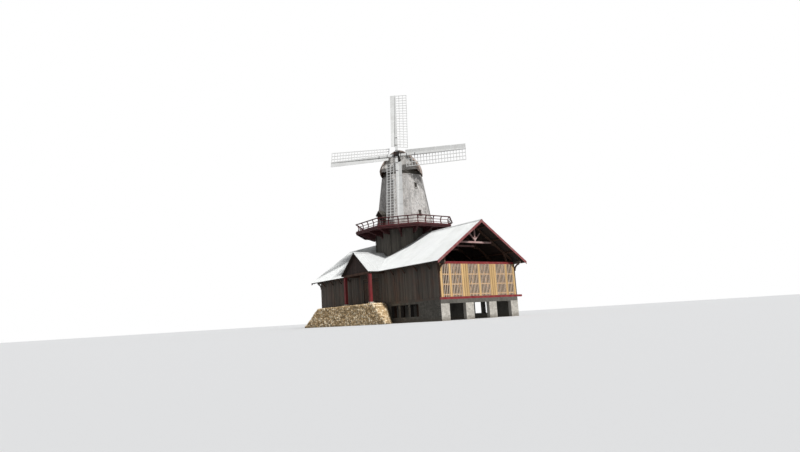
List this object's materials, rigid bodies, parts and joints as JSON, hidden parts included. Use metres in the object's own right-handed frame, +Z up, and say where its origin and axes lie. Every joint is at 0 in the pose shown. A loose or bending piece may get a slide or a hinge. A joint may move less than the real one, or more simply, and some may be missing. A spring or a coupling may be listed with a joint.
{
  "type": "smock windmill on a barn",
  "caption": "Smock windmill with twisted lattice sails, a boat-shaped cap and a railed gallery, standing through the roof of a long timber barn with open slatted gables.",
  "frame": {"origin": "the tower's axis at ground level, on the underside of the pad below the tower", "axes": "+X along the barn to the gable with the picture's slatted wall, -Y to the porch and the stone bank, +Z up"},
  "size_m": [29.29, 16.25, 30.8581],
  "materials": {
    "concrete": "matt",
    "grey_masonry": "matt",
    "rubble": "matt",
    "grey_boards": "matt",
    "dark_boards": "matt",
    "drum_boards": "matt",
    "door_boards": "matt",
    "red_timber": "painted matt",
    "pink_timber": "painted matt",
    "brown_timber": "matt",
    "pale_slats": "matt",
    "roof_metal": "painted matt",
    "gallery_timber": "painted matt",
    "tower_shingles": "weathered",
    "cap_shingles": "weathered",
    "window_glass": "dull",
    "black_iron": "painted satin",
    "white_timber": "painted satin"
  },
  "bodies": {
    "building": {"tower_pad": "concrete", "gable_piers": "concrete", "gable_lintels": "grey_masonry", "long_plinths": "grey_masonry", "barn_floor": "grey_boards", "long_beams": "dark_boards", "gable_beams": "red_timber", "long_walls": "dark_boards", "barn_doors": "door_boards", "gable_slats_right": "pale_slats", "gable_slats_left": "pale_slats", "corner_posts": "brown_timber", "truss_rafters": "brown_timber", "truss_beams": "pink_timber", "truss_arches": "brown_timber", "king_posts": "pink_timber", "overhang_braces": "brown_timber", "purlins": "brown_timber", "main_roof": "roof_metal", "verge_boards": "pink_timber", "stone_bank": "rubble", "porch_posts": "red_timber", "porch_beams": "brown_timber", "porch_roof": "roof_metal", "porch_gable": "door_boards", "tower_posts": "brown_timber", "drum_walls": "drum_boards", "gallery_deck": "gallery_timber", "gallery_brackets": "gallery_timber", "gallery_rail": "gallery_timber", "tower_walls": "tower_shingles", "tower_windows": "window_glass", "gallery_doors": "door_boards", "door_hoods": "drum_boards", "curb_ring": "drum_boards"},
    "cap": {"cap_frame": "drum_boards", "cap_bearers": "brown_timber", "cap_roof": "cap_shingles", "cap_front_boards": "cap_shingles"},
    "sails": {"windshaft": "black_iron", "poll_end": "black_iron", "stocks": "white_timber", "sail_top": "white_timber", "sail_left": "white_timber", "sail_bottom": "white_timber", "sail_right": "white_timber"}
  },
  "joints": [
    {"name": "cap_turn", "type": "hinge", "parent": "building", "child": "cap", "pos_m": [0, 0, 19.816], "axis": [0, 0, 1], "continuous": true},
    {"name": "sails_turn", "type": "hinge", "parent": "cap", "child": "sails", "pos_m": [2.5048, -2.55781, 21.9], "axis": [0.6863, -0.7009, 0.1942], "continuous": true}
  ]
}
